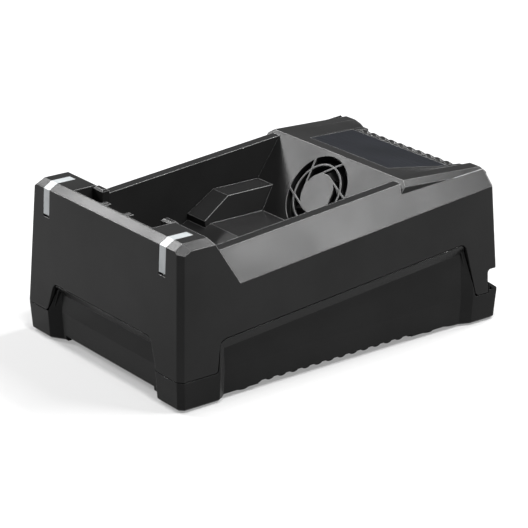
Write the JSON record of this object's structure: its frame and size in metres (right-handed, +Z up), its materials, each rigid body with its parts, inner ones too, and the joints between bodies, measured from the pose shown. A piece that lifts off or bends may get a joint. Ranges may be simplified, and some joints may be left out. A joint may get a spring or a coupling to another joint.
{
  "type": "power tool battery charger",
  "caption": "Desk charger for slide-on tool batteries: open well with rail slots and contacts, light pipes at the front, a fan behind a tilted grille and a ribbed rear housing.",
  "frame": {"origin": "middle of the ground plane under the rubber feet", "axes": "+X to the right seen from the front, +Y from the front wall to the rear housing, +Z up"},
  "size_m": [0.16, 0.24, 0.0978],
  "materials": {
    "upper_plastic": "fine moulded texture",
    "lower_plastic": "coarser moulded texture",
    "light_pipe": "clear frosted",
    "label_plate": "smooth satin",
    "rubber": "matt",
    "steel_screw": "zinc plated",
    "fan_plastic": "satin",
    "contact_plastic": "satin",
    "contact_metal": "plated",
    "circuit_board": "solder resist",
    "steel": "ground",
    "ferrite": "sintered",
    "magnet": "bonded",
    "copper_wire": "enamelled",
    "bobbin": "satin",
    "capacitor": "shrink sleeve",
    "heat_sink": "extruded",
    "power_case": "moulded epoxy",
    "film_capacitor": "satin",
    "relay_case": "satin",
    "terminal": "satin",
    "varistor": "dipped",
    "glass_fuse": "clear",
    "lamp": "diffusing",
    "power_wire": "insulated",
    "signal_wire": "insulated"
  },
  "bodies": {
    "charger": {"board_screws": "steel_screw", "bridge_rectifier": "power_case", "bulk_capacitors": "capacitor", "charge_controller": "power_case", "choke_core": "ferrite", "choke_winding": "copper_wire", "contact_blades": "contact_metal", "contact_block": "contact_plastic", "contact_terminal": "terminal", "cord_gland": "rubber", "fan_bearing": "contact_metal", "fan_frame": "fan_plastic", "fan_lead": "signal_wire", "fan_screws": "steel_screw", "fan_stator": "ferrite", "fan_terminal": "terminal", "fuse_clips": "contact_metal", "housing_screws": "steel_screw", "label_plate": "label_plate", "lamp_board_left": "circuit_board", "lamp_board_right": "circuit_board", "lamp_leads": "signal_wire", "lamp_terminal": "terminal", "lamps": "lamp", "light_pipe_left": "light_pipe", "light_pipe_right": "light_pipe", "lower_shell": "lower_plastic", "main_board": "circuit_board", "mains_fuse": "glass_fuse", "mains_terminal": "terminal", "output_capacitors": "capacitor", "output_heat_sink": "heat_sink", "output_rectifiers": "power_case", "power_leads": "power_wire", "power_transistors": "power_case", "primary_heat_sink": "heat_sink", "relay": "relay_case", "rubber_foot_front_left": "rubber", "rubber_foot_front_right": "rubber", "rubber_foot_rear_left": "rubber", "rubber_foot_rear_right": "rubber", "signal_leads": "signal_wire", "transformer_base": "bobbin", "transformer_bobbin": "bobbin", "transformer_core": "ferrite", "transformer_winding": "copper_wire", "upper_shell": "upper_plastic", "varistor": "varistor", "x_capacitor": "film_capacitor"},
    "fan_wheel": {"fan_rotor": "fan_plastic", "fan_magnet": "magnet", "fan_shaft": "steel"}
  },
  "joints": [
    {"name": "fan_spin", "type": "hinge", "parent": "charger", "child": "fan_wheel", "pos_m": [0, 0.03916, 0.0756], "axis": [0, -0.8192, 0.5736], "continuous": true}
  ]
}
